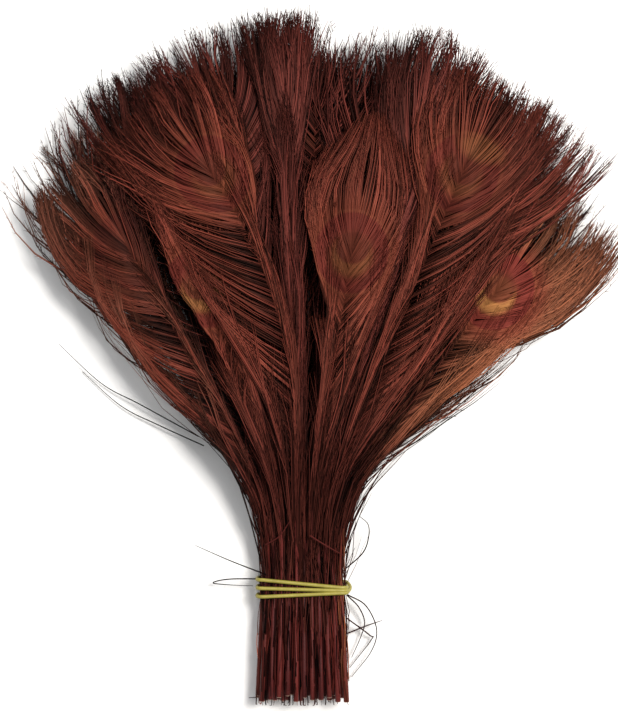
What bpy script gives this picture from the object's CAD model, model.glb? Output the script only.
import math

import bmesh
import bpy
import numpy as np
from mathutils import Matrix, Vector


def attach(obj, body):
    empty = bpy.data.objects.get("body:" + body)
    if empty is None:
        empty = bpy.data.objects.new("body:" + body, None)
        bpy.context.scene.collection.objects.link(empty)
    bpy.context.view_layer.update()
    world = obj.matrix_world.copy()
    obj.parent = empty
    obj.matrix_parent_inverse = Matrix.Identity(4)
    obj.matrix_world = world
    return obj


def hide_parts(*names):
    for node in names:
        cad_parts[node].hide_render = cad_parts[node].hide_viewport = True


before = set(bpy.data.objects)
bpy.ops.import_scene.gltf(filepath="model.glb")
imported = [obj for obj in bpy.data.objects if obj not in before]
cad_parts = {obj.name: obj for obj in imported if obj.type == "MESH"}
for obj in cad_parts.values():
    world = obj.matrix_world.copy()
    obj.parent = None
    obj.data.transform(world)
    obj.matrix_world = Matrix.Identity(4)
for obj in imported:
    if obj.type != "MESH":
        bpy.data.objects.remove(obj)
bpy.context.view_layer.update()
scene = bpy.context.scene
mm = 0.001

# the same measures as the solids, in millimetres. Along a feather they count from the tie.
bunch = {
    "slots": 11,
    "slotPitch": 2.95,
    "rows": 4,
    "rowPitch": 2.55,
    "rowShift": 0.75,
    "lowestRow": 2.95,
    "cutLength": 46,
    "cutFlare": 0.16,
    "tieTop": 6,
    "layersPerRow": 3,
    "lowestLayer": 1.0,
    "layerPitch": 2.2,
    "layerRise": 66,
    "tipSquash": 0.3,
    "squashed": (120, 220),  # the tips, between these distances from the tie
    "fan": (-33, 40),
    "fanJitter": 1.6,
    "longest": 236,
    "fanShortening": 0.022,
    "lengthJitter": 15,
    "eyeBelowTip": 45,
    "cut": 1.42,
    "quill": 1.3,
    "quillTop": 70,
    "shaft": 0.9,
    "tip": 0.32,
    "insideBand": (17.1, 11.9),  # half the width and the top of the space in it
    "bandHolds": (5, 40),  # fully below the first distance from it, and less up to the second
    "bandSlack": 120,
    "overTable": 0.7,
}
spine = {"start": -50, "step": 0.5, "pastTip": 20}

# what a feather has where its own entry says nothing. Pairs are for the barbs on the left and on
# the right.
usual = {
    "outer": 0,  # the side of the bunch that it closes, if any
    "bend": (6, 72),  # where along it the shaft leans over
    "leftShare": 0.5,  # how many of its barbs grow on the left
    "density": 1,  # how many barbs it has beside a full feather
    "spread": 1,  # how far its barbs open
    "hug": (0.5, 0.5),  # the same, low on the shaft
    "reach": (1, 1),  # how long they are between there and the eye
    "tuck": (0, 0),  # how far their tips turn in, in degrees
    "narrow": (1, 1),  # draws them in towards the shaft
    "under": (0, 0),  # how dark they are where a neighbour covers them
    "over": 0,  # how far the fringe goes past the length
    "ragged": 0.18,  # how much the barbs differ in length
    "tufts": 1,  # how wide the locks are
    "wave": 0.9,  # how far the barbs wave
    "droop": 1,  # how far their tips hang
    "gather": 0,  # draws the fringe over the eye to a point
    "vivid": 0.25,  # how well the eye shows
    "gold": 0.2,  # the same for its crescent
    "flash": 0,  # the same for a patch over it
}
# the outer feathers are thin on their outer side, and turn its tips in
outerLeft = {"outer": -1, "leftShare": 0.12, "tuck": (24, 0), "hug": (1, 0.5)}
outerRight = {"outer": 1, "leftShare": 0.8, "tuck": (0, 16), "hug": (0.5, 1)}
# at these slots the hidden rows have a fringe of few wide tufts, with gaps
gappySlots = (0, 1, 2, 10)
gappy = {"tufts": 2, "density": 0.5}

# the top row from left to right: fan is how far a feather leans in degrees, and length and eye
# are measured along it
topRow = [
    {"fan": -29.5, "length": 196, "eye": 150, "layer": 1, "dye": "shaded", "vivid": 0.5,
     "gold": 0.05, "tuck": (26, 12), "hug": (0.9, 0.5), "reach": (1.35, 1), "under": (0, 1),
     "leftShare": 0.66, "tufts": 1.7, "ragged": 0.35, "narrow": (1, 0.35), "density": 0.85},
    {"fan": -23, "length": 226, "eye": 180, "layer": 0, "dye": "deep", "vivid": 0.1,
     "tufts": 2, "ragged": 0.5, "under": (0, 1), "density": 0.7},
    {"fan": -21.5, "length": 172, "eye": 127, "layer": 2, "dye": "maroon", "vivid": 0.9,
     "gold": 0.75, "tuck": (34, 4), "hug": (0.55, 0.6), "reach": (0.5, 0.9), "spread": 0.8,
     "narrow": (0.55, 1)},
    {"fan": -9, "length": 233, "eye": 188, "layer": 0, "dye": "deep", "vivid": 0.1},
    {"fan": -36, "length": 219, "eye": 174, "layer": 3, "dye": "maroon", "vivid": 0.75,
     "gold": 0.15, "bend": (38, 200), "tuck": (10, 0), "hug": (1, 0.2), "reach": (1.3, 1),
     "narrow": (1, 0.8)},
    {"fan": -3, "length": 237, "eye": 188, "layer": 1, "dye": "deep", "vivid": 0,
     "spread": 0.36, "hug": (0.3, 0.3), "under": (0.8, 0), "wave": 1.3},
    {"fan": 9.5, "length": 197, "eye": 137, "layer": 3, "dye": "maroon", "vivid": 0.9,
     "gold": 0.3, "gather": 0.8, "spread": 0.7, "hug": (0.35, 0.8), "reach": (0.8, 0.9),
     "droop": 3},
    {"fan": 15, "length": 230, "eye": 184, "layer": 2, "dye": "deep", "vivid": 0,
     "spread": 17 / 30, "over": 7, "under": (0.8, 0), "wave": 1.3},
    {"fan": 23, "length": 223, "eye": 178, "layer": 3, "dye": "maroon", "vivid": 0.75,
     "gold": 0.2, "flash": 0.45, "spread": 0.9, "hug": (0.25, 0.9), "reach": (1, 1.3),
     "tuck": (0, 8)},
    {"fan": 30, "length": 219, "eye": 172, "layer": 2, "dye": "maroon", "vivid": 0.1,
     "spread": 0.85, "hug": (0.4, 0.5), "reach": (1, 1.15), "tuck": (0, 4)},
    {"fan": 37.7, "length": 196, "eye": 140, "layer": 1, "dye": "orange", "vivid": 1,
     "gold": 0.9, "tuck": (0, 16), "hug": (0.4, 0.62), "reach": (1, 1.42), "leftShare": 0.42,
     "tufts": 1.15, "ragged": 0.5},
]


def smooth(x, low, high):
    t = np.clip((np.asarray(x, float) - low) / (high - low), 0, 1)
    return t * t * (3 - 2 * t)


def scatter(i, j):  # a repeatable number from 0 to 1 for each pair of counters
    s = math.sin(i * 12.9898 + j * 78.233) * 43758.5453
    return s - math.floor(s)


def makeFeathers():
    feathers = []
    low, high = bunch["fan"]
    lastSlot = bunch["slots"] - 1
    for row in range(bunch["rows"]):
        for slot in range(bunch["slots"]):
            index = row * bunch["slots"] + slot
            own = usual | (outerLeft if slot < 2 else outerRight if slot > 8 else {})
            if row == bunch["rows"] - 1:
                own |= topRow[slot]
            else:
                fan = low + (high - low) * slot / lastSlot
                fan += bunch["fanJitter"] * (2 * scatter(index, 1) - 1)
                length = bunch["longest"] - bunch["fanShortening"] * fan * fan
                length -= bunch["lengthJitter"] * scatter(index, 2)
                own |= {"fan": fan, "length": length, "eye": length - bunch["eyeBelowTip"],
                        "layer": (slot + row) % bunch["layersPerRow"],
                        "dye": "russet" if slot in (0, lastSlot) else "deep"}
                own |= gappy if slot in gappySlots else {}
            shift = bunch["rowShift"] * (1 if row % 2 else -1)
            own |= {
                "index": index,
                "row": row,
                "name": f"feather_{index + 1:02d}",
                "level": row * bunch["layersPerRow"] + own["layer"],
                "x": (slot - lastSlot / 2) * bunch["slotPitch"] + shift,
                "z": bunch["lowestRow"] + row * bunch["rowPitch"],
            }
            own["spine"] = makeSpine(own)
            feathers.append(own)
    return feathers


def flareAt(d):
    return 1 + bunch["cutFlare"] * (bunch["tieTop"] - d) / (bunch["tieTop"] + bunch["cutLength"])


def makeSpine(feather):  # distance from the tie, x, y and heading, in even steps
    step = spine["step"]
    d = np.arange(spine["start"], feather["length"] + spine["pastTip"], step)
    heading = math.radians(feather["fan"]) * smooth(d, *feather["bend"])
    middle = (heading[1:] + heading[:-1]) / 2
    x = np.concatenate([[0], np.cumsum(np.sin(middle) * step)]) + feather["x"]
    y = np.concatenate([[0], np.cumsum(np.cos(middle) * step)]) + d[0]
    x = np.where(d <= bunch["tieTop"], feather["x"] * flareAt(d), x)
    return d, x, y, heading


def heightAt(feather, d, distance):
    middle = bunch["lowestRow"] + (bunch["rows"] - 1) * bunch["rowPitch"] / 2
    below = middle + (feather["z"] - middle) * flareAt(d)
    squash = 1 - bunch["tipSquash"] * smooth(distance, *bunch["squashed"])
    layer = bunch["lowestLayer"] + feather["level"] * bunch["layerPitch"] * squash
    rise = smooth(d, bunch["tieTop"], bunch["layerRise"])
    return np.where(d <= bunch["tieTop"], below, feather["z"] + (layer - feather["z"]) * rise)


def radiusAt(feather, d):
    top = bunch["quillTop"]
    low = bunch["quill"] + (bunch["shaft"] - bunch["quill"]) * smooth(d, 0, top)
    low = low + (bunch["cut"] - bunch["quill"]) * np.clip(-d / bunch["cutLength"], 0, 1)
    share = np.clip((d - top) / (feather["length"] - top), 0, 1)
    return np.where(d < top, low, bunch["shaft"] + (bunch["tip"] - bunch["shaft"]) * share)


def place(feather, across, along, lift):  # from the feather's own plane into the bunch
    d, x, y, heading = feather["spine"]
    turn = np.interp(along, d, heading)
    px = np.interp(along, d, x) + across * np.cos(turn)
    py = np.interp(along, d, y) - across * np.sin(turn)
    pz = heightAt(feather, along, np.hypot(px, py)) + lift
    # nothing bulges through the band, and nothing dips into the table
    slack = bunch["bandSlack"] * smooth(np.abs(py), *bunch["bandHolds"])
    half, top = bunch["insideBand"]
    px = np.clip(px, -half - slack, half + slack)
    pz = np.minimum(pz, top + slack)
    return np.stack([px, py, np.maximum(pz, bunch["overTable"])], axis=-1)


print("stage: camera, light and table")


def aimAt(thing, target):
    direction = Vector(target) - thing.location
    thing.rotation_euler = direction.to_track_quat("-Z", "Y").to_euler()


camera = bpy.data.objects.new("camera", bpy.data.cameras.new("camera"))
scene.collection.objects.link(camera)
shot = {"middle": (2.8, 94.7), "plane": 14, "height": 287.2, "distance": 950, "sensor": 36,
        "nearest": 0.01}
camera.location = (shot["middle"][0] * mm, shot["middle"][1] * mm,
                   (shot["plane"] + shot["distance"]) * mm)
camera.data.sensor_width = shot["sensor"]
camera.data.lens = shot["sensor"] * shot["distance"] / shot["height"]
camera.data.clip_start = shot["nearest"]
scene.camera = camera

studio = {"colour": (1, 1, 1, 1), "strength": 0.36, "target": (0, 0.09, 0)}
lamps = {
    "key": {"place": (0.55, 0.35, 1.15), "size": 0.4, "power": 21, "colour": (1, 0.97, 0.93)},
    "fill": {"place": (-0.5, 0.9, 1.1), "size": 1.0, "power": 5, "colour": (0.95, 0.97, 1)},
}
for name, values in lamps.items():
    light = bpy.data.lights.new(name, "AREA")
    light.size = values["size"]
    light.energy = values["power"]
    light.color = values["colour"]
    lamp = bpy.data.objects.new(name, light)
    lamp.location = values["place"]
    aimAt(lamp, studio["target"])
    scene.collection.objects.link(lamp)
world = bpy.data.worlds.new("studio")
scene.world = world
world.use_nodes = True
sky = world.node_tree.nodes["Background"]
sky.inputs["Color"].default_value = studio["colour"]
sky.inputs["Strength"].default_value = studio["strength"]
scene.view_settings.view_transform = "Standard"

table = {"half": 2.0, "colour": (0.93, 0.925, 0.92, 1), "roughness": 0.9}
bm = bmesh.new()
bmesh.ops.create_grid(bm, x_segments=1, y_segments=1, size=table["half"])
floorMesh = bpy.data.meshes.new("table")
bm.to_mesh(floorMesh)
bm.free()
floor = bpy.data.objects.new("table", floorMesh)
scene.collection.objects.link(floor)
floorMaterial = bpy.data.materials.new("table")
floorMaterial.use_nodes = True
floorShader = floorMaterial.node_tree.nodes["Principled BSDF"]
floorShader.inputs["Base Color"].default_value = table["colour"]
floorShader.inputs["Roughness"].default_value = table["roughness"]
floorMesh.materials.append(floorMaterial)

print("stage: materials")


class Wire:  # one output of a shader node, with sums written as Python sums
    def __init__(self, tree, socket):
        self.tree = tree
        self.socket = socket

    def math(self, operation, *others, clamp=False):
        values = dict(enumerate((self, *others)))
        return self.tree.add("ShaderNodeMath", {"operation": operation, "use_clamp": clamp}, values)

    def __add__(self, other): return self.math("ADD", other)
    def __radd__(self, other): return self.math("ADD", other)
    def __sub__(self, other): return self.math("SUBTRACT", other)
    def __rsub__(self, other): return self.tree.number(other).math("SUBTRACT", self)
    def __mul__(self, other): return self.math("MULTIPLY", other)
    def __rmul__(self, other): return self.math("MULTIPLY", other)
    def __truediv__(self, other): return self.math("DIVIDE", other)
    def __pow__(self, other): return self.math("POWER", other)
    def above(self, edge, soft):  # 0 below the edge, 1 above it
        return ((self - (edge - soft / 2)) / soft).math("ADD", 0, clamp=True)
    def below(self, edge, soft): return 1 - self.above(edge, soft)


class Tree:  # the nodes of one material
    def __init__(self, name):
        self.material = bpy.data.materials.new(name)
        self.material.use_nodes = True
        self.nodes = self.material.node_tree.nodes
        self.links = self.material.node_tree.links
        self.shader = self.nodes["Principled BSDF"]

    def add(self, kind, settings=None, sockets=None, output=0):
        node = self.nodes.new(kind)
        for key, value in (settings or {}).items():
            setattr(node, key, value)
        for key, value in (sockets or {}).items():
            self.feed(node.inputs[key], value)
        return Wire(self, node.outputs[output])

    def feed(self, socket, value):
        if isinstance(value, Wire):
            self.links.new(value.socket, socket)
        elif isinstance(value, tuple) and len(value) == 3 and socket.type == "RGBA":
            socket.default_value = (*value, 1)
        else:
            socket.default_value = value

    def number(self, value):
        return self.add("ShaderNodeMath", {"operation": "ADD"}, {0: value, 1: 0.0})

    def mix(self, share, first, second, blend="MIX"):
        return self.add("ShaderNodeMix", {"data_type": "RGBA", "blend_type": blend},
                        {0: share, 6: first, 7: second}, output=2)

    def attribute(self, name):
        return self.add("ShaderNodeAttribute", {"attribute_name": name}, output=2)

    def noise(self, spot, scale, detail=2.0):
        return self.add("ShaderNodeTexNoise", {"noise_dimensions": "3D"},
                        {"Vector": spot, "Scale": scale, "Detail": detail})

    def finish(self, **values):
        for key, value in values.items():
            self.feed(self.shader.inputs[key.replace("_", " ")], value)
        return self.material


def srgb(red, green, blue):  # a colour picker's numbers, made linear
    def linear(v):
        v /= 255
        return v / 12.92 if v <= 0.04045 else ((v + 0.055) / 1.055) ** 2.4
    return linear(red), linear(green), linear(blue)


# each dye has a brightness for the eye, too
dyes = {
    "deep": {"dark": srgb(14, 5, 5), "light": srgb(68, 26, 23), "tips": srgb(70, 29, 25),
             "rib": srgb(130, 66, 54), "quill": srgb(104, 40, 38), "eye": 0.7},
    "maroon": {"dark": srgb(18, 6, 5), "light": srgb(82, 31, 26), "tips": srgb(88, 39, 32),
               "rib": srgb(154, 84, 62), "quill": srgb(112, 43, 39), "eye": 0.75},
    "shaded": {"dark": srgb(16, 5, 4), "light": srgb(74, 28, 22), "tips": srgb(124, 80, 64),
               "rib": srgb(140, 76, 56), "quill": srgb(108, 38, 32), "eye": 0.42},
    "russet": {"dark": srgb(50, 21, 15), "light": srgb(122, 64, 49), "tips": srgb(176, 134, 114),
               "rib": srgb(150, 92, 70), "quill": srgb(120, 44, 36), "eye": 0.65},
    "orange": {"dark": srgb(56, 25, 17), "light": srgb(126, 73, 49), "tips": srgb(112, 66, 50),
               "rib": srgb(140, 92, 67), "quill": srgb(132, 50, 36), "eye": 1.35},
}
eyeColours = {
    "heart": srgb(92, 39, 31),
    "gold": srgb(158, 108, 62),
    "bronze": srgb(110, 54, 38),
    "wine": srgb(104, 40, 35),
    "rim": srgb(138, 76, 54),
    "halo": srgb(104, 48, 35),
}
# where the middle of each oval of the eye lies, across and along the feather, and its half axes
eyeOvals = {
    "disc": (0, 0, 15.5, 17),
    "inner": (0, -1.5, 10, 10),
    "pupil": (0, 1.8, 6.6, 6.4),
    "flash": (3, 12, 9, 5),
}
barbLook = {
    "blotch": 38.0,
    "fuzz": 1500.0,
    "roughness": 0.6,
    "bump": 0.35,
    "bumpDepth": 0.0002,
    "specular": 0.05,
    "quillCoat": 0.3,
    "coatRoughness": 0.35,
    "pith": srgb(206, 176, 150),
}


def paintEye(tree, base, blotch, strand, bright, gold, flash):  # rings in the feather's own plane
    plan = tree.add("ShaderNodeUVMap", {"uv_map": "plan"})
    across = tree.add("ShaderNodeSeparateXYZ", None, {0: plan})
    along = Wire(tree, across.socket.node.outputs["Y"])
    wobble = (blotch - 0.5) * 0.12 + (strand - 0.5) * 0.06

    def distanceIn(oval):  # 0 at its middle and 1 at its edge
        middle, up, wide, tall = eyeOvals[oval]
        u = (across - middle) / wide
        v = (along - up) / tall
        return (u * u + v * v) ** 0.5 + wobble

    disc = distanceIn("disc")
    inner = distanceIn("inner")
    patchy = blotch.above(0.5, 0.3)
    layers = [
        (disc.below(1.3, 0.5), "halo"),
        (disc.below(1.02, 0.07) * (0.25 + patchy * 0.45), "rim"),
        (disc.below(0.96, 0.07) * 0.9, "wine"),
        (inner.below(1.0, 0.25) * (0.4 + patchy * 0.5), "bronze"),
        (inner.below(0.8, 0.25) * gold, "gold"),
        (distanceIn("pupil").below(1.0, 0.2) * 0.85, "heart"),
    ]
    if flash:
        layers.append((distanceIn("flash").below(1.0, 0.7) * flash, "gold"))
    eye = base
    for share, key in layers:
        eye = tree.mix(share, eye, tuple(v * bright for v in eyeColours[key]))
    return disc, eye


def featherMaterial(name, dye, vivid, gold, flash=0):
    tree = Tree(name)
    colours = dyes[dye]
    look = barbLook
    strand = tree.attribute("strand")
    reach = tree.attribute("reach")
    ridge = tree.attribute("ridge")
    rise = tree.attribute("rise")
    spot = tree.add("ShaderNodeTexCoord", output=3)
    blotch = tree.noise(spot, look["blotch"])
    fuzz = tree.noise(spot, look["fuzz"], 3.0)

    # plain strands: dark dye, lighter ones between, paler towards the tips
    tone = (strand * 0.9 + blotch * 0.5 - 0.2).math("ADD", 0, clamp=True)
    # the loose barbs low on the feather, and those under a neighbour, took more dye
    ground = {key: tree.mix(rise ** 2.0, dyes["deep"][key], colours[key])
              for key in ("dark", "light", "rib")}
    base = tree.mix(tone, ground["dark"], ground["light"])
    base = tree.mix(reach.above(0.75, 0.5) * rise * 0.6, base, colours["tips"])

    # the eye is finer and smoother than the loose barbs
    disc, eye = paintEye(tree, base, blotch, strand, colours["eye"], gold, flash)
    calm = disc.below(1.15, 0.4) * vivid
    body = tree.mix(disc.below(1.45, 0.4) * vivid, base, eye)
    shade = strand * 2.05 + (fuzz - 0.5) * 0.6
    shade = shade + (0.8 - shade) * calm * 0.7
    shade = shade * (0.22 + rise * 0.78)
    grey = tree.add("ShaderNodeCombineXYZ", None, {0: shade, 1: shade, 2: shade})
    body = tree.mix(1.0, body, grey, "MULTIPLY")

    # the rib along each barb catches the light, and quills are smooth and bare
    rib = ridge.above(0.82, 0.3) * (0.05 + strand * 0.75) * (1 - calm * 0.85)
    body = tree.mix(rib, body, ground["rib"])
    quill = tree.attribute("quill")
    grain = tree.mix(fuzz * 0.6 + strand * 0.45, colours["dark"], colours["quill"])
    grain = tree.mix(rise.above(0.1, 0.2), grain, colours["dark"])
    grain = tree.mix(quill * ridge, grain, look["pith"])  # in the cut end
    body = tree.mix(quill.below(0.5, 0.1), grain, body)
    rough = look["roughness"] - rib * 0.25 + (fuzz - 0.5) * 0.15
    bump = tree.add("ShaderNodeBump", None, {"Strength": look["bump"],
                                             "Distance": look["bumpDepth"], "Height": fuzz})
    coat = quill.above(0.5, 0.1) * rise.below(0.1, 0.2) * look["quillCoat"]
    return tree.finish(Base_Color=body, Roughness=rough, Normal=bump, Coat_Weight=coat,
                       Specular_IOR_Level=look["specular"], Coat_Roughness=look["coatRoughness"])


print("stage: shapes that repeat")

# the bake map, where each rod has a cell: how small its end caps are drawn, and how much of the
# edge of a cell and of the whole map stays empty
capMap = {"wide": 0.3, "tall": 0.012, "away": 1.2}
cellEdge = {"u": 0.06, "v": 0.05, "bottom": 0.0005, "top": 0.9995}


def rodTemplate(sides, rings, end=1.0):  # a closed rod, as arrays, to be bent along many paths
    bm = bmesh.new()
    bmesh.ops.create_cone(bm, cap_ends=True, segments=sides, radius1=1, radius2=end, depth=1)
    for k in range(1, rings - 1):
        every = bm.verts[:] + bm.edges[:] + bm.faces[:]
        bmesh.ops.bisect_plane(bm, geom=every, plane_co=(0, 0, k / (rings - 1) - 0.5),
                               plane_no=(0, 0, 1))
    bm.verts.ensure_lookup_table()
    first = math.atan2(bm.verts[0].co.y, bm.verts[0].co.x)
    ring = np.array([round((v.co.z + 0.5) * (rings - 1)) for v in bm.verts])
    turn = np.array([math.atan2(v.co.y, v.co.x) - first for v in bm.verts])
    corner = np.round(turn / (2 * math.pi / sides)).astype(int) % sides
    loops, starts, totals, mapU, mapV = [], [], [], [], []
    for face in bm.faces:
        ids = [v.index for v in face.verts]
        starts.append(len(loops))
        totals.append(len(ids))
        loops += ids
        c = [int(corner[k]) for k in ids]
        if len(set(ring[k] for k in ids)) > 1:  # a side face, which may cross the seam
            foot = [k for k, v in zip(c, ids) if end or ring[v] == 0]
            if 0 in foot and sides - 1 in foot:
                foot = [sides if k == 0 else k for k in foot]
                c = [sides if k == 0 else k for k in c]
            if not end:  # the point of a spike, between its two corners
                c = [k if ring[v] == 0 else sum(foot) / 2 for k, v in zip(c, ids)]
            mapU += [k / sides for k in c]
            mapV += [ring[k] / (rings - 1) for k in ids]
        else:  # an end cap, drawn small beside its ring
            level = ring[ids[0]] / (rings - 1)
            tall = capMap["tall"] if level else -capMap["tall"]
            mapU += [0.5 + capMap["wide"] * math.cos(turn[k]) for k in ids]
            mapV += [level + tall * (capMap["away"] + math.sin(turn[k])) for k in ids]
    bm.free()
    return {"ring": ring, "corner": corner, "sides": sides, "loops": np.array(loops),
            "starts": np.array(starts), "totals": np.array(totals), "mapU": np.array(mapU),
            "mapV": np.array(mapV)}


def sweep(rod, paths, radii, flat=1.0):  # bends copies of a rod along paths of as many points
    ahead = np.gradient(paths, axis=1)
    ahead /= np.linalg.norm(ahead, axis=2, keepdims=True) + 1e-12
    side = np.cross(np.array([0.0, 0.0, 1.0]), ahead)
    side /= np.linalg.norm(side, axis=2, keepdims=True) + 1e-12
    up = np.cross(ahead, side)
    angle = math.pi / 2 + 2 * math.pi * rod["corner"] / rod["sides"]
    ring = rod["ring"]
    out = side[:, ring] * np.cos(angle)[None, :, None]
    out = out + up[:, ring] * (np.sin(angle) * flat)[None, :, None]
    return paths[:, ring] + out * radii[:, ring][:, :, None]


class Parts:  # gathers the arrays of one piece, then makes its mesh
    def __init__(self):
        self.points, self.loops, self.starts, self.totals = [], [], [], []
        self.bake, self.plan = [], []
        self.values = {"strand": [], "reach": [], "ridge": [], "quill": [], "rise": []}
        self.count, self.corners = 0, 0

    def put(self, rod, points, plan, cells, **values):
        copies, size = points.shape[:2]
        first = self.count + size * np.arange(copies)[:, None]
        begin = self.corners + len(rod["loops"]) * np.arange(copies)[:, None]
        self.points.append(points.reshape(-1, 3))
        self.loops.append((rod["loops"][None] + first).ravel())
        self.starts.append((rod["starts"][None] + begin).ravel())
        self.totals.append(np.tile(rod["totals"], copies))
        u0, v0, wide, tall = cells
        u = cellEdge["u"] + (1 - 2 * cellEdge["u"]) * rod["mapU"][None]
        v = cellEdge["v"] + (1 - 2 * cellEdge["v"]) * rod["mapV"][None]
        mapped = np.stack([u0 + wide * u, v0 + tall * v], axis=-1)
        mapped = np.clip(mapped, cellEdge["bottom"], cellEdge["top"])
        self.bake.append(mapped.reshape(-1, 2))
        self.plan.append(plan[:, rod["loops"]].reshape(-1, 2))
        for key, value in self.values.items():
            value.append(np.broadcast_to(values.get(key, 0.0), (copies, size)).ravel())
        self.count += copies * size
        self.corners += copies * len(rod["loops"])

    def build(self, name):
        mesh = bpy.data.meshes.new(name)
        loops = np.concatenate(self.loops)
        mesh.vertices.add(self.count)
        mesh.vertices.foreach_set("co", (np.concatenate(self.points) * mm).ravel())
        mesh.loops.add(len(loops))
        mesh.loops.foreach_set("vertex_index", loops)
        starts = np.concatenate(self.starts)
        mesh.polygons.add(len(starts))
        mesh.polygons.foreach_set("loop_start", starts)
        mesh.polygons.foreach_set("loop_total", np.concatenate(self.totals))
        for layer, data in (("OFBake", self.bake), ("plan", self.plan)):
            mesh.uv_layers.new(name=layer).data.foreach_set("uv", np.concatenate(data).ravel())
        for key, value in self.values.items():
            layer = mesh.attributes.new(key, "FLOAT", "POINT")
            layer.data.foreach_set("value", np.concatenate(value).astype(np.float32))
        mesh.update(calc_edges=True)
        mesh.validate()
        piece = bpy.data.objects.new(name, mesh)
        scene.collection.objects.link(piece)
        return piece


print("stage: feathers")

barbs = {
    # where the root is, the angle at the root and at the tip in degrees, the length
    "root": (-42, 20, 45, 60, 75, 95),
    "open": (5, 10, 24, 32, 42, 50),
    "close": (1, 2, 4, 6, 9, 12),
    "reach": (50, 72, 76, 70, 64, 60),
    # the same, counted from the centre of the eye
    "rootEye": (-35, -15, -4, 6),
    "openEye": (54, 56, 40, 3),
    "closeEye": (12, 12, 10, 1),
    "reachEye": (56, 50, 42, 39),
    # few grow down the quill, and many from the loose part up to the end of the shaft: the share
    # of them that is rooted below each place
    "share": (0, 0.02, 0.16, 0.64, 1),
    "below": (-36, 2, 44),
    "belowEye": (-25, 6),
    "bend": 1.3,
    "tuckBend": 1.3,
    "brush": 4.0,
    "brushHalf": 25,
    "brushScatter": 4.5,
    "thick": 0.3,
    "fine": 0.16,
    "fineShare": 0.4,
    "fuzzLength": 3.0,
    "fuzzRadii": (0.15, 0.02),
    # how many there are, in the top row and in the hidden ones
    "front": {"rings": 7, "count": 990, "fuzz": 2300, "fibres": 17},
    "hidden": {"rings": 6, "count": 310, "fuzz": 650, "fibres": 8},
    "fibreRings": 5,
    "fibreTop": 30,
    "shaftRings": 40,
    "pithDepth": 0.3,
}
# the locks that the barbs draw together into: how wide they are down the quill, round the eye
# and how far they rise, how hard they draw, and how far they sway and curl, in millimetres
locks = {"loose": 3.4, "eye": 2.2, "dome": 1.2, "pull": 0.7, "outerPull": 0.88, "sway": 1.1,
         "curl": 2.4}
shaftRod = rodTemplate(8, barbs["shaftRings"])
spikeRod = rodTemplate(3, 2, 0)
fibreRod = rodTemplate(3, barbs["fibreRings"])
barbRods = {barbs[row]["rings"]: rodTemplate(3, barbs[row]["rings"]) for row in ("front", "hidden")}


def cellsOf(count, rows, low, high):  # a grid of strips on the bake map, one for each copy
    columns = math.ceil(count / rows)
    k = np.arange(count)
    u = (k % columns) / columns
    v = low + (k // columns) * (high - low) / rows
    return u[:, None], v[:, None], 1 / columns, (high - low) / rows


def aimBarbs(feather, count, rings, rng):  # each barb by itself, in the feather's own plane
    eye, length = feather["eye"], feather["length"]
    even = np.linspace(0, 1, 200)
    below = barbs["below"] + tuple(eye + k for k in barbs["belowEye"])
    rooted = np.interp(even, barbs["share"], below)
    root = np.sort(np.interp(rng.random(count), even, rooted))
    side = np.where(rng.random(count) < feather["leftShare"], -1.0, 1.0)
    turn = rng.normal(0, 1, count)
    knots = barbs["root"] + tuple(eye + k for k in barbs["rootEye"])
    opened = np.interp(root, knots, barbs["open"] + barbs["openEye"])
    closed = np.interp(root, knots, barbs["close"] + barbs["closeEye"])
    above = smooth(root, eye - 50, eye - 25)  # below the eye the barbs lie closer to the shaft
    hug = np.where(side < 0, *feather["hug"])
    opened = opened * feather["spread"] * (hug + (1 - hug) * above)
    closed = closed * feather["spread"] * (hug + (1 - hug) * above)
    opened = np.radians(opened + turn * (4 - 2 * smooth(root, 50, 90) + 2 * above))
    closed = np.radians(closed + turn * 1.5 + rng.normal(0, 1, count) * 4 * above)
    tuck = np.radians(np.where(side < 0, *feather["tuck"])) * smooth(root, 30, 90)
    tuck = tuck * (1 - 0.6 * smooth(root, eye - 20, eye))

    top, usualTop = length - eye, bunch["eyeBelowTip"]
    long = np.interp(root, knots, barbs["reach"] + barbs["reachEye"])
    long = long * (1 - feather["ragged"] * rng.random(count) ** 2) * top / usualTop
    long = np.where(root < 60, long * usualTop / top, long)
    reach = np.where(side < 0, *feather["reach"])
    long *= 1 + (reach - 1) * smooth(root, 30, 60) * (1 - smooth(root, eye - 30, eye - 5))

    t = np.linspace(0, 1, rings)[None]
    half = (t[:, 1:] + t[:, :-1]) / 2
    angle = closed[:, None] + (opened - closed)[:, None] * (1 - half) ** barbs["bend"]
    angle = angle - tuck[:, None] * smooth(half, 0.2, 1) * barbs["tuckBend"]
    zero = np.zeros((count, 1))
    across = np.concatenate([zero, np.cumsum(np.sin(angle), 1)], 1) / (rings - 1)
    along = np.concatenate([zero, np.cumsum(np.cos(angle), 1)], 1) / (rings - 1)
    # the fringe over the eye ends like a brush
    dip = barbs["brush"] * (across[:, -1] * long / barbs["brushHalf"]) ** 2
    goal = length + feather["over"] - dip
    goal -= barbs["brushScatter"] * np.abs(rng.normal(0, 1, count))
    stretch = np.clip((goal - root) / (along[:, -1] * long), 0.8, 1.25)
    long *= 1 + (stretch - 1) * smooth(root, eye - 45, eye - 25)
    return root, side, across * (side * long)[:, None], root[:, None] + along * long[:, None]


def locksOf(feather, root, side):  # the lock that each barb belongs to, and its place across it
    eye = feather["eye"]
    steps = np.arange(barbs["root"][0], eye + 8, 1.0)
    wide = np.interp(steps, (eye - 40, eye - 5), (locks["loose"], locks["eye"]))
    wide *= feather["tufts"]
    seat = np.interp(root, steps, np.cumsum(1 / wide)) + (side > 0) * 0.4
    seat += 0.3 * np.sin(root * 0.9 + feather["index"])
    lock = (np.floor(seat).astype(int) - int(seat.min()) + 1) * 2 + (side > 0)
    return lock, seat - np.floor(seat)


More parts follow.
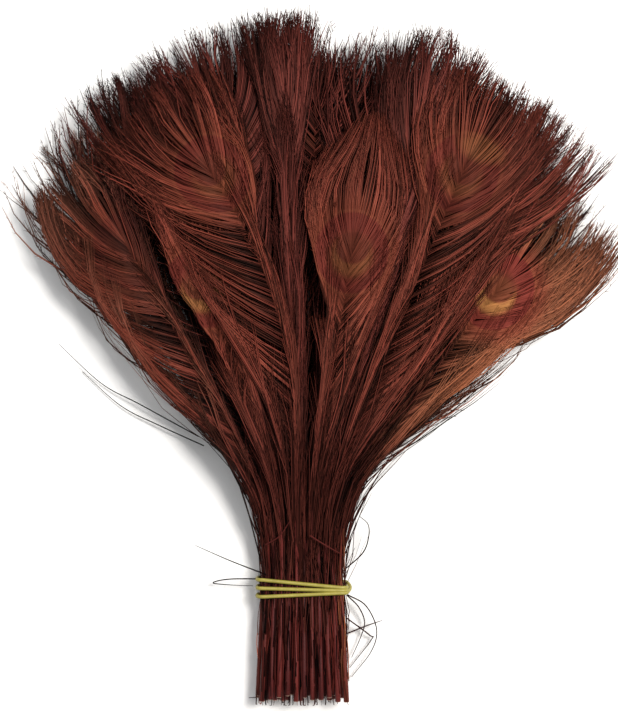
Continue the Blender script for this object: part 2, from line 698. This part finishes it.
def growBarbs(feather, count, rings, rng):
    eye = feather["eye"]
    root, side, across, along = aimBarbs(feather, count, rings, rng)
    lock, rank = locksOf(feather, root, side)
    number = lock.max() + 1
    size = np.maximum(np.bincount(lock, minlength=number), 1)[:, None]
    t = np.linspace(0, 1, rings)[None]

    def meanOf(values):
        total = np.stack([np.bincount(lock, values[:, k], number) for k in range(rings)], 1)
        return (total / size)[lock]

    # neighbours draw together into locks, less so round the eye
    calm = np.exp(-((root - eye + 12) / 20) ** 2) * (0.3 + 0.5 * feather["vivid"])
    split = (side * feather["outer"] > 0) | (feather["tufts"] >= 2)
    pull = (np.where(split, locks["outerPull"], locks["pull"]) * (1 - calm))[:, None]
    near = smooth(t, 0, 0.45) * (1 - 0.5 * smooth(t, 0.6, 1))
    pull = pull * np.where(split[:, None], smooth(t, 0.2, 0.8), near)
    across *= np.where(side < 0, *feather["narrow"])[:, None]
    across += (meanOf(across) - across) * pull
    along += (meanOf(along) - along) * pull
    # each lock sways and curls its own way
    sway = rng.normal(0, 1, (number, 3))[lock]
    across += sway[:, :1] * locks["sway"] * t ** 2
    across += np.sin(7 * t + sway[:, 1:2] * 3) * feather["wave"] * t
    curl = rng.normal(0, 1, number)[lock][:, None] + rng.normal(0, 0.4, (count, 1))
    across += curl * locks["curl"] * smooth(t, 0.5, 1) ** 2
    along -= np.abs(curl) * locks["curl"] * 0.4 * smooth(t, 0.5, 1) ** 2
    along += rng.normal(0, 1, (count, 1)) * 0.8 * t
    gathered = feather["gather"] * smooth(root, eye - 60, eye - 10)[:, None]
    across *= 1 - gathered * smooth(along, eye + 8, feather["length"])
    domed = locks["dome"] * (1 - (2 * rank - 1) ** 2)[:, None] * smooth(t, 0.05, 0.4)
    lift = sway[:, 2:] * 0.4 * t + rng.normal(0, 1, (count, 1)) * 0.2 * t + domed
    lift -= feather["droop"] * (across / 20) ** 2
    across -= side[:, None] * rng.uniform(0, 0.4, (count, 1))
    # the middle of a lock catches the light, its edges lie in shade, and so do the roots
    strand = (1 - np.abs(2 * rank - 1)) ** 2.1 + 0.25 * (rng.random(count) - 0.3)
    strand = strand * rng.uniform(0.65, 1.35, number)[lock]
    strand = strand + (0.4 - strand) * calm * 0.5
    under = np.where(across < 0, *feather["under"]) * smooth(np.abs(across), 1, 8)
    rise = smooth(along, 20, 100) * (1 - under)
    rise *= 1 - 0.55 * (1 - smooth(t, 0, 0.2)) * (1 - calm)[:, None]
    return across, along, lift, np.clip(strand, 0, 1)[:, None], rise


def putRods(parts, feather, rod, shape, radii, flat, cells, **values):  # rods along a feather
    across, along, lift = shape
    paths = place(feather, across, along, lift)
    plan = np.stack([across, along - feather["eye"]], axis=-1)
    parts.put(rod, sweep(rod, paths, radii, flat), plan[:, rod["ring"]], cells, **values)


def putBarbs(parts, feather, rod, grown, rng):
    across, along, lift, strand, rise = grown
    count, rings = across.shape
    t = np.linspace(0, 1, rings)[None]
    near = np.exp(-((along[:, :1] - feather["eye"] + 8) / 22) ** 2)
    thick = rng.random((count, 1)) < 1 - barbs["fineShare"]
    wide = np.where(thick, barbs["thick"], barbs["fine"])
    wide = wide * rng.uniform(0.8, 1.25, (count, 1)) * (1 + 0.6 * near)
    putRods(parts, feather, rod, (across, along, lift), wide * (1 - 0.82 * t ** 2.2), 0.7,
            cellsOf(count, 8, 0.0, 0.8), strand=strand, rise=rise[:, rod["ring"]],
            reach=np.broadcast_to(t[0][rod["ring"]], (count, len(rod["ring"]))),
            ridge=(rod["corner"] == 0)[None] * 1.0)


def putBarbules(parts, feather, many, grown, rng):  # short ones that make the fringe bushy
    across, along, lift, strand = grown[:4]
    chosen = rng.choice(np.flatnonzero(along[:, -1] > feather["eye"] + 12), many)
    at = rng.uniform(0.45, 0.97, (many, 1)) * (across.shape[1] - 1)
    low = np.floor(at).astype(int)

    def pieceOf(values):  # the stretch of its barb that each one grows from
        first = np.take_along_axis(values[chosen], low, 1)
        return first, np.take_along_axis(values[chosen], low + 1, 1) - first

    (acrossFoot, acrossStep), (alongFoot, alongStep), (liftFoot, liftStep) = map(
        pieceOf, (across, along, lift))
    lean = rng.choice((-1, 1), (many, 1)) * rng.uniform(0.25, 0.7, (many, 1))
    lean = lean + np.arctan2(acrossStep, alongStep)
    size = barbs["fuzzLength"] * rng.uniform(0.5, 1.1, (many, 1))
    ends = np.linspace(0, 1, 2)[None]
    shape = (acrossFoot + acrossStep * (at - low) + np.sin(lean) * size * ends,
             alongFoot + alongStep * (at - low) + np.cos(lean) * size * ends,
             liftFoot + liftStep * (at - low) + rng.uniform(-0.4, 0.9, (many, 1)) * ends)
    radii = np.broadcast_to(np.array([barbs["fuzzRadii"]]), (many, 2))
    putRods(parts, feather, spikeRod, shape, radii, 1.0, cellsOf(many, 24, 0.93, 1.0),
            strand=strand[chosen], reach=0.9, rise=1.0)


def putFibres(parts, feather, few, rng):  # they cling to the bare quill, most pointing up
    cut = bunch["cutLength"]
    s = np.linspace(0, 1, barbs["fibreRings"])[None]
    foot = rng.uniform(-cut + 1, bunch["tieTop"], (few, 1))
    run = rng.uniform(10, 28, (few, 1)) * rng.choice((1, 1, -1), (few, 1))
    along = np.clip(foot + run * s, -cut - 0.8, barbs["fibreTop"])
    spin = rng.uniform(0, math.pi, (few, 1)) + rng.uniform(-0.9, 0.9, (few, 1)) * s
    away = bunch["quill"] + 0.1 + rng.uniform(0, 0.7, (few, 1)) * np.sin(math.pi * s)
    radii = rng.uniform(0.12, 0.3, (few, 1)) * (1 - 0.5 * s)
    putRods(parts, feather, fibreRod, (np.cos(spin) * away, along, np.sin(spin) * away), radii,
            1.0, cellsOf(few, 1, 0.88, 0.925), strand=rng.random((few, 1)), reach=0.4, rise=1.0)


def putShaft(parts, feather):  # from the cut end, with its pith, to the top of the eye
    eye, index = feather["eye"], feather["index"]
    d = np.linspace(-bunch["cutLength"] + 3 * scatter(index, 3), eye + 6, barbs["shaftRings"])
    d[1] = d[0] + barbs["pithDepth"]
    d = d[None]
    radii = radiusAt(feather, d) * np.where(d > eye - 20, 0.55, 0.8)
    radii[:, 0] *= 0.7
    ring = shaftRod["ring"]
    putRods(parts, feather, shaftRod, (0 * d, d, -0.6 * smooth(d, 20, 60)), radii, 0.9,
            cellsOf(1, 1, 0.81, 0.87), strand=scatter(index, 7), quill=1.0,
            ridge=(ring == 0)[None] * 1.0, rise=smooth(d, 20, 100)[:, ring])


def growFeather(feather):
    amount = barbs["front" if feather["row"] == bunch["rows"] - 1 else "hidden"]
    count = int(feather["density"] * amount["count"])
    fuzz = int(feather["density"] * amount["fuzz"])
    rng = np.random.default_rng(100 + feather["index"])
    grown = growBarbs(feather, count, amount["rings"], rng)
    parts = Parts()
    putBarbs(parts, feather, barbRods[amount["rings"]], grown, rng)
    putBarbules(parts, feather, fuzz, grown, rng)
    putFibres(parts, feather, amount["fibres"], rng)
    putShaft(parts, feather)
    piece = parts.build(f"{feather['name']}_barbs")
    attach(piece, "root")
    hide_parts(feather["name"])
    piece.data.materials.append(
        featherMaterial(f"{feather['name']}_dye", feather["dye"], feather["vivid"],
                        feather["gold"], feather["flash"]))


for feather in makeFeathers():
    growFeather(feather)

print("stage: rubber band")

# how far along the bunch each turn lies on the left and on the right, in millimetres. The last
# one bulges out at the right, where it crosses the others.
band = {
    "turns": ((3.9, 0.8), (0.5, -0.4), (-2.9, -1.4)),
    "lastLowRight": 2.1,
    "lastBulge": 1.35,
    "half": 18.2,
    "low": 0.78,
    "high": 12.9,
    "corner": 2.3,
    "strand": 0.76,
    "sides": 8,
}
bandLook = {
    "dark": srgb(128, 118, 40),
    "light": srgb(170, 160, 74),
    "specks": srgb(104, 92, 34),
    "mottle": 220.0,
    "speck": 2600.0,
    "roughness": 0.5,
    "bump": 0.3,
    "bumpDepth": 0.0002,
}


def bandMaterial():
    tree = Tree("band_rubber")
    look = bandLook
    spot = tree.add("ShaderNodeTexCoord", output=3)
    mottle = tree.noise(spot, look["mottle"])
    speck = tree.noise(spot, look["speck"])
    colour = tree.mix(mottle, look["dark"], look["light"])
    colour = tree.mix(speck.above(0.6, 0.2) * 0.3, colour, look["specks"])
    bump = tree.add("ShaderNodeBump", None, {"Strength": look["bump"],
                                             "Distance": look["bumpDepth"], "Height": speck})
    rough = look["roughness"] + (speck - 0.5) * 0.2
    return tree.finish(Base_Color=colour, Roughness=rough, Normal=bump)


def quarterRound(x, y, z, start):  # clockwise seen from the cut ends
    r = band["corner"]
    return [(x + r * math.cos(a), y, z + r * math.sin(a))
            for a in np.radians(np.linspace(start, start - 90, 6)[:-1])]


def straight(first, last, pieces, bulge=0):
    run = []
    for step in np.linspace(0, 1, pieces + 1)[:-1]:
        x, y, z = (a + (b - a) * step for a, b in zip(first, last))
        run.append((x + bulge * math.sin(math.pi * step), y, z))
    return run


def bandPath():
    half, low, high = band["half"], band["low"], band["high"]
    x, bottom, top = half - band["corner"], low + band["corner"], high - band["corner"]
    points = []
    for k, (left, right) in enumerate(band["turns"]):
        nextLeft = band["turns"][(k + 1) % len(band["turns"])][0]
        last = k == len(band["turns"]) - 1
        lowRight = band["lastLowRight"] if last else right
        points += straight((-x, left, high), (x, right, high), 13)  # over the top
        points += quarterRound(x, right, top, 90)
        points += straight((half, right, top), (half, lowRight, bottom), 6,
                           band["lastBulge"] if last else 0)
        points += quarterRound(x, lowRight, bottom, 0)
        points += straight((x, lowRight, low), (-x, nextLeft, low), 13)  # back underneath
        points += quarterRound(-x, nextLeft, bottom, -90)
        points += straight((-half, nextLeft, bottom), (-half, nextLeft, top), 4)
        points += quarterRound(-x, nextLeft, top, 180)
    return np.array(points)


def makeBand():
    path = bandPath()
    count, sides = len(path), band["sides"]
    ahead = np.roll(path, -1, 0) - np.roll(path, 1, 0)
    bm = bmesh.new()
    bmesh.ops.create_circle(bm, segments=sides, radius=band["strand"])
    section = [v.co.copy() for v in bm.verts]
    bm.clear()
    rings = []
    for k in range(count):
        tangent = Vector(ahead[k]).normalized()
        across = Vector((0, 1, 0))
        across = (across - tangent * across.dot(tangent)).normalized()
        outward = tangent.cross(across)
        rings.append([bm.verts.new((Vector(path[k]) + across * p.x + outward * p.y) * mm)
                      for p in section])
    loops = []
    for ring in rings:
        loops.append([bm.edges.new((ring[k], ring[(k + 1) % sides])) for k in range(sides)])
    for k in range(count):
        bmesh.ops.bridge_loops(bm, edges=loops[k] + loops[(k + 1) % count])
    bmesh.ops.recalc_face_normals(bm, faces=bm.faces[:])
    for face in bm.faces:
        face.smooth = True
    mesh = bpy.data.meshes.new("wound_band")
    bm.to_mesh(mesh)
    bm.free()
    piece = bpy.data.objects.new("wound_band", mesh)
    scene.collection.objects.link(piece)
    mesh.materials.append(bandMaterial())
    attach(piece, "root")
    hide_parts("rubber_band")


makeBand()

print("stage: loose barbs")

# barbs that stand away from the bunch, each from its root to its tip, in millimetres
looseBarbs = {
    "paths": (
        ((-42, 61.8, 9), (-66, 74.7, 5), (-82, 83.2, 2), (-99.4, 99.4, 4)),
        ((-40, 58, 7), (-58, 66, 4), (-74, 74, 2), (-90, 88, 1)),
        ((-13.7, 5.7, 12), (-29, 11.3, 9), (-43.2, 17.8, 12)),
        ((-16.2, 4, 9), (-30, 3.6, 6), (-36.4, 2, 5), (-30, 1.1, 4), (-20, 0.6, 3)),
        ((16.6, 7.3, 10), (24.6, 14.5, 9), (27, 21, 9), (26.7, 26.3, 11), (23, 29.9, 13)),
        ((18.4, -2.4, 9), (25.9, -6.9, 9), (30.3, -16.6, 7), (28.3, -25.9, 4), (20.2, -36.8, 2)),
        ((18.2, -2.8, 7), (23, -7.7, 6), (25.5, -14.1, 4), (23.8, -20.6, 3), (20.2, -28.7, 3)),
        ((18.2, -12.1, 8), (27.5, -19.4, 4), (28.3, -21.4, 3), (19.4, -33.1, 2)),
        ((18.2, -18.6, 6), (26, -15.6, 5), (32.7, -13.3, 5)),
        ((-8.9, -44, 2), (-15, -45, 1), (-21.8, -45.4, 1)),
        ((36, 64, 14), (51.7, 70.7, 13), (67.1, 76.4, 12)),
        ((34, 58, 11), (44, 66, 9), (58, 72, 9), (66, 72.5, 8)),
        ((38, 62, 8), (50, 67.5, 6), (63, 70, 4)),
        ((-15, 18.2, 15.2), (-9, 22, 16.6), (-4.8, 28.3, 17.6)),
        ((3.2, 22.2, 17), (9, 18.5, 16.4), (16.6, 14.1, 15)),
        ((20, 38, 10), (30, 55, 6), (36, 60, 5)),
    ),
    "thick": 0.32,
    "sides": 6,
    "rings": 24,
    "farFromEye": (60, 200),
}


def throughPoints(points, rings):  # a smooth path through all the points
    p = np.array(points, float)
    p = np.vstack([2 * p[0] - p[1], p, 2 * p[-1] - p[-2]])
    out = []
    for u in np.linspace(0, len(points) - 1, rings):
        k = min(int(u), len(points) - 2)
        t = u - k
        a, b, c, d = p[k:k + 4]
        out.append(0.5 * (2 * b + (c - a) * t + (2 * a - 5 * b + 4 * c - d) * t * t
                          + (3 * b - a - 3 * c + d) * t ** 3))
    return np.array(out)


def makeLooseBarbs():
    rings, number = looseBarbs["rings"], len(looseBarbs["paths"])
    rod = rodTemplate(looseBarbs["sides"], rings)
    paths = np.stack([throughPoints(p, rings) for p in looseBarbs["paths"]])
    t = np.linspace(0, 1, rings)[None]
    radii = looseBarbs["thick"] * (1 - 0.6 * t ** 2) * np.linspace(0.85, 1.1, number)[:, None]
    aside, above = looseBarbs["farFromEye"]
    plan = np.stack([paths[..., 0] * 0 + aside, paths[..., 1] - above], axis=-1)
    parts = Parts()
    parts.put(rod, sweep(rod, paths, radii), plan[:, rod["ring"]], cellsOf(number, 2, 0.0, 1.0),
              strand=np.linspace(0, 1, number)[:, None], ridge=0.5, rise=0.6)
    piece = parts.build("loose_barbs")
    piece.data.materials.append(featherMaterial("loose_dye", "deep", 0, 0))
    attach(piece, "root")


makeLooseBarbs()

shown = [o for o in scene.objects if o.type == "MESH" and not o.hide_render]
triangles = [sum(len(p.vertices) - 2 for p in o.data.polygons) for o in shown]
print("stage: done, triangles", sum(triangles), "most in one piece", max(triangles))
